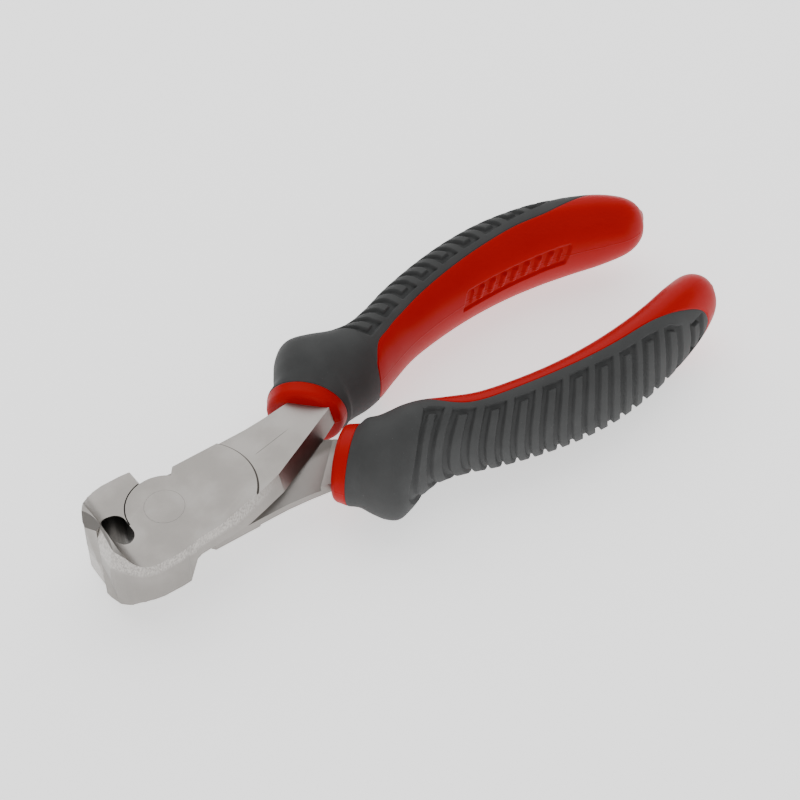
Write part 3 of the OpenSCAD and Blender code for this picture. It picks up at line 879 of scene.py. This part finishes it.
def core_mesh(grip, panel):
    """The hard core: collar, the skin under the soft cover and the bare inner side with the tail."""
    opened = open_stretch(grip)[0]
    near_back = COLLAR_END - COLLAR_BACK
    behind_seam = opened + BEHIND_SEAM
    collar = np.concatenate([
        np.linspace(0, 1, ROUNDING_STEPS + 1),
        *stretches(grip, [1, near_back, COLLAR_END], [PLAIN_SPACING, SEAM_SPACING]),
    ])
    under = spaced(grip, COLLAR_END, opened, HIDDEN_SPACING)
    bare = np.concatenate(
        stretches(grip, [opened, behind_seam, LAST_ROW - CAP_SPAN], [SEAM_SPACING, RIB_SPACING]))
    covered_from, bare_from = len(collar), len(collar) + len(under)
    form = sections(grip, np.concatenate([collar, under, bare]))
    angles = cover_angles(grip, form)
    angles[:, :covered_from] = 0

    # The columns are even round the collar, and end up split between the bare and the covered side
    shown = turns_between(form, angles[0], math.tau - angles[1], BARE_COLUMNS)
    hidden_shares = np.linspace(0, 1, COVERED_COLUMNS + 2)[1:-1]
    hidden = math.tau - angles[1][:, None] + hidden_shares * angles.sum(axis=0)[:, None]
    columns = BARE_COLUMNS + COVERED_COLUMNS
    even = np.linspace(0, math.tau, columns, endpoint=False)
    split = np.concatenate([np.zeros(len(collar)), np.linspace(0, 1, len(under)), np.ones(len(bare))])[:, None]
    turns = np.hstack([shown, hidden]) * split + even * (1 - split)

    sunk = grip.cover + grip.seam_width / 4
    inset = np.zeros_like(turns)
    inset[covered_from:bare_from] = sunk
    inset[bare_from:, BARE_COLUMNS:] = sunk * cover_room(grip, form, angles)[bare_from:]
    seam = seam_inset(grip, ring_points(form, turns, inset))
    seam[inset > 0] = 0
    points = ring_points(form, turns, inset + seam)
    points = np.concatenate([points, tail_cap(grip, points[-1])])

    rows = len(points)
    flat = points.reshape(-1, 3)
    faces = grid_faces(0, rows, columns, closed=True)
    faces += [tuple(range(columns)), tuple(range((rows - 1) * columns, rows * columns))]
    inner_side = np.ones((rows, columns), bool)
    inner_side[:len(turns)] = np.cos(turns) < 0
    return flat, faces, {
        "panel_x": np.where(inner_side.ravel(), flat[:, 0] - panel.middle, FAR),
        "panel_z": flat[:, 2] - LAP_Z - panel.lift,
    }


def cover_faces(rows, start):
    """Faces of the cover's skin and inner side, of its front wall, and of its side walls from the start row."""
    thin, columns = COLUMNS_PER_INNER, COVER_COLUMNS
    inner_columns = (columns - 1) // thin + 1
    inner = rows * columns
    faces = grid_faces(0, rows, columns)
    faces += [tuple(reversed(f)) for f in grid_faces(inner, rows, inner_columns)]
    for j in range(inner_columns - 1):
        faces.append((*range(j * thin, (j + 1) * thin + 1), inner + j + 1, inner + j))
    for outer_column, inner_column in ((0, 0), (columns - 1, inner_columns - 1)):
        for i in range(start, rows - 1):
            a = i * columns + outer_column
            b = inner + i * inner_columns + inner_column
            faces.append((a, a + columns, b + inner_columns, b))
    return faces


def cover_mesh(grip, grooves):
    """The soft cover: its outer skin, its inner side and the walls between them."""
    opened, closed = open_stretch(grip)
    stops = [COLLAR_END, COLLAR_END + BEHIND_SEAM, opened - BEFORE_SEAM, opened, opened + BEHIND_SEAM, closed]
    before = stretches(grip, stops[:4], [SEAM_SPACING, RIB_SPACING, SEAM_SPACING])
    behind = stretches(grip, stops[3:], [SEAM_SPACING, RIB_SPACING])
    form = sections(grip, np.concatenate([[COLLAR_END], *before, *behind]))
    start = sum(map(len, before))
    angles = cover_angles(grip, form)
    angles[:, :start + 1] = math.pi
    turns = turns_between(form, -angles[1], angles[0], COVER_COLUMNS)
    seam = seam_inset(grip, ring_points(form, turns, np.zeros_like(turns)))
    points = ring_points(form, turns, seam)
    few = turns[:, ::COLUMNS_PER_INNER]
    inset = np.broadcast_to(grip.cover * cover_room(grip, form, angles), few.shape)
    inner = ring_points(form, few, inset).reshape(-1, 3)
    along, around, climb = groove_values(grip, grooves, form, turns, points)
    plain = np.zeros(len(inner))
    return np.concatenate([points.reshape(-1, 3), inner]), cover_faces(len(form), start), {
        "along": np.concatenate([along, plain - grooves.count]),
        "round": np.concatenate([around, plain + FAR]),
        "climb": np.concatenate([climb, plain]),
    }


def groove_values(grip, grooves, form, turns, points):
    """For each point of the skin: its place along the loops, its distance round from the outermost line, and
    the distance to which the loops climb there."""
    x, y = points[..., 0], points[..., 1]
    line_x = (form[:, 0] + form[:, 2]) / 2
    line_y = (form[:, 1] + form[:, 3]) / 2
    behind_guard = line_x > GUARD_SHARE * grip.tip
    out = (y - np.interp(x, line_x[behind_guard], line_y[behind_guard])) / grooves.bow
    bowed = np.sign(out) * np.abs(out) ** grooves.bow_power * grooves.bow
    slant_x, slants = np.array(GROOVE_SLANTS).T
    face_x = x
    for _ in range(GROOVE_PASSES):
        slant = np.radians(np.interp(face_x, slant_x * grip.tip, slants))
        face_x = x + np.tan(slant) * bowed
    climb_x, *climbs = np.array(GROOVE_CLIMBS).T
    top = np.where(turns > 0, *(np.radians(np.interp(face_x, climb_x * grip.tip, c)) for c in climbs))
    table = np.linspace(0, math.pi, ARC_SAMPLES)
    arcs = np.cumsum(local_radius(form, table[:, None]).T, axis=1) * table[1]
    around = [np.interp(np.abs(row), table, arc) for row, arc in zip(turns, arcs)]
    climb = [np.interp(row, table, arc) for row, arc in zip(top, arcs)]
    along = (face_x - grooves.first) / grooves.pitch
    return along.ravel(), np.concatenate(around), np.concatenate(climb)


# Place and width of each light, the point that they shine on, and half the floor's side
KEY_LIGHT = ((0.33, 0.5, 0.7), 1.6)
FILL_LIGHT = ((-0.3, -0.7, 0.42), 0.9)
LIT_POINT = Vector((0.05, 0, 0))
FLOOR_SIZE = 6.0


# Operators

def settings():
    return bpy.context.scene.nippers


class NIPPERS_OT_steel(bpy.types.Operator):
    """Give the forged halves rounded edges and a satin finish, and finish the rivet"""

    bl_idname = "nippers.steel"
    bl_label = "Forged halves and rivet"

    def execute(self, context):
        steel = settings().steel
        material = steel_material("satin_steel", steel)
        for side, body in HALVES.items():
            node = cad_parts[side + "_half"]
            piece = bpy.data.objects.new("forged_half_" + side, self.trimmed(node, steel))
            piece.data.materials.append(material)
            context.scene.collection.objects.link(piece)
            bevel = piece.modifiers.new("Edges", "BEVEL")
            bevel.width = steel.edge
            bevel.segments = 2
            bevel.limit_method = "ANGLE"
            bevel.angle_limit = steel.edge_angle
            bevel.harden_normals = True
            settle(piece)
            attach(piece, body)
            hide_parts(node.name)
        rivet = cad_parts["pivot_rivet"]
        rivet.data.materials.clear()
        rivet.data.materials.append(steel_material("rivet_steel", steel))
        return {"FINISHED"}

    def trimmed(self, node, steel):
        """A merged copy of a half's mesh, without the ledge that the joint's plate leaves on the jaw's nose."""
        mesh = node.data.copy()
        mesh.materials.clear()
        work = bmesh.new()
        work.from_mesh(mesh)
        bmesh.ops.remove_doubles(work, verts=work.verts, dist=MERGE)
        plate = RIVET_HIGH.z - LAP_Z
        moved = []
        for vertex in work.verts:
            height = abs(vertex.co.z - LAP_Z)
            nose = height * steel.nose_lean - steel.nose
            if height < plate + MERGE and vertex.co.x < nose:
                vertex.co.x = nose
                moved.append(vertex)
        bmesh.ops.remove_doubles(work, verts=moved, dist=steel.edge / 2)
        bmesh.ops.dissolve_degenerate(work, edges=work.edges, dist=MERGE)
        bmesh.ops.dissolve_limit(work, angle_limit=FLAT_ANGLE, verts=work.verts, edges=work.edges)
        work.to_mesh(mesh)
        work.free()
        return mesh


class NIPPERS_OT_cores(bpy.types.Operator):
    """Make the hard core of each grip"""

    bl_idname = "nippers.cores"
    bl_label = "Grip cores"

    def execute(self, context):
        chosen = settings()
        panel = chosen.panel
        material = core_material(chosen.plastic)
        tree = panel_tree()
        points, faces, values = core_mesh(chosen.grip, panel)
        for side, body in HALVES.items():
            piece = new_piece("grip_core_" + side, points, faces, values, side == "lower")
            press(piece, tree, material, panel)
            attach(piece, body)
            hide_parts(side + "_grip_core")
        return {"FINISHED"}


class NIPPERS_OT_covers(bpy.types.Operator):
    """Make the soft cover of each grip with its groove loops"""

    bl_idname = "nippers.covers"
    bl_label = "Grip covers"

    def execute(self, context):
        chosen = settings()
        grooves = chosen.grooves
        material = cover_material(chosen.plastic)
        tree = groove_tree()
        points, faces, values = cover_mesh(chosen.grip, grooves)
        for side, body in HALVES.items():
            piece = new_piece("grip_cover_" + side, points, faces, values, side == "lower")
            press(piece, tree, material, grooves)
            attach(piece, body)
            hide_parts(side + "_grip_cover")
        return {"FINISHED"}


class NIPPERS_OT_stage(bpy.types.Operator):
    """Make the floor, the lights and the camera"""

    bl_idname = "nippers.stage"
    bl_label = "Floor, lights and camera"

    def execute(self, context):
        studio = settings().studio
        self.floor(studio)
        self.sky(context, studio)
        self.light("key_light", *KEY_LIGHT, studio.key)
        self.light("fill_light", *FILL_LIGHT, studio.fill)
        self.camera(context, studio)
        return {"FINISHED"}

    def floor(self, studio):
        corners = [(x * FLOOR_SIZE, y * FLOOR_SIZE, FLOOR_Z) for x, y in ((-1, -1), (1, -1), (1, 1), (-1, 1))]
        mesh = bpy.data.meshes.new("floor")
        mesh.from_pydata(corners, [], [(0, 1, 2, 3)])
        material, tree, shader = new_material("pale_floor")
        feed_all(tree, shader, {
            "Base Color": (0.9, 0.9, 0.9, 1), "Roughness": 0.8,
            "Emission Color": (1, 1, 1, 1), "Emission Strength": studio.glow,
        })
        mesh.materials.append(material)
        floor = bpy.data.objects.new("floor", mesh)
        bpy.context.scene.collection.objects.link(floor)

    def sky(self, context, studio):
        world = bpy.data.worlds.new("studio")
        world.use_nodes = True
        inputs = {"Color": (1, 1, 1, 1), "Strength": studio.sky}
        feed_all(world.node_tree, world.node_tree.nodes["Background"], inputs)
        context.scene.world = world

    def light(self, name, place, size, power):
        lamp = bpy.data.lights.new(name, "AREA")
        lamp.shape = "DISK"
        lamp.size = size
        lamp.energy = power
        holder = bpy.data.objects.new(name, lamp)
        aim = (LIT_POINT - Vector(place)).to_track_quat("-Z", "Y").to_matrix().to_4x4()
        holder.matrix_world = Matrix.Translation(place) @ aim
        bpy.context.scene.collection.objects.link(holder)

    def camera(self, context, studio):
        yaw, pitch, roll = studio.yaw, studio.pitch, studio.roll
        level = math.cos(pitch)
        ahead = Vector((math.sin(yaw) * level, math.cos(yaw) * level, -math.sin(pitch)))
        right = Vector((math.cos(yaw), -math.sin(yaw), 0))
        down = ahead.cross(right)
        rolled_right = right * math.cos(roll) + down * math.sin(roll)
        rolled_down = down * math.cos(roll) - right * math.sin(roll)
        turn = Matrix((rolled_right, -rolled_down, -ahead)).transposed().to_4x4()
        lens = bpy.data.cameras.new("camera")
        lens.lens = studio.lens
        lens.sensor_width = 36.0
        lens.clip_start = 0.01
        camera = bpy.data.objects.new("camera", lens)
        camera.matrix_world = Matrix.Translation(studio.place) @ turn
        context.scene.collection.objects.link(camera)
        context.scene.camera = camera


class NIPPERS_PT_main(bpy.types.Panel):
    """The steps that make the nippers and their settings"""

    bl_idname = "NIPPERS_PT_main"
    bl_label = "End cutting nippers"
    bl_space_type = "VIEW_3D"
    bl_region_type = "UI"
    bl_category = "Nippers"

    def draw(self, context):
        chosen = settings()
        for operator in OPERATORS:
            self.layout.operator(operator.bl_idname)
        for group in ("grip", "grooves", "panel", "steel", "plastic", "studio"):
            box = self.layout.box()
            box.label(text=group.capitalize())
            values = getattr(chosen, group)
            for name in values.bl_rna.properties.keys():
                if name not in ("rna_type", "name"):
                    box.prop(values, name)


GROUPS = (NIPPERS_PG_grip, NIPPERS_PG_grooves, NIPPERS_PG_panel, NIPPERS_PG_steel, NIPPERS_PG_plastic,
          NIPPERS_PG_studio, NIPPERS_PG_all)
OPERATORS = (NIPPERS_OT_steel, NIPPERS_OT_cores, NIPPERS_OT_covers, NIPPERS_OT_stage)


def register():
    for cls in (*GROUPS, *OPERATORS, NIPPERS_PT_main):
        bpy.utils.register_class(cls)
    bpy.types.Scene.nippers = PointerProperty(type=NIPPERS_PG_all)


def unregister():
    del bpy.types.Scene.nippers
    for cls in reversed((*GROUPS, *OPERATORS, NIPPERS_PT_main)):
        bpy.utils.unregister_class(cls)


def main():
    register()
    bpy.ops.nippers.steel()
    bpy.ops.nippers.cores()
    bpy.ops.nippers.covers()
    bpy.ops.nippers.stage()


if __name__ == "__main__":
    main()
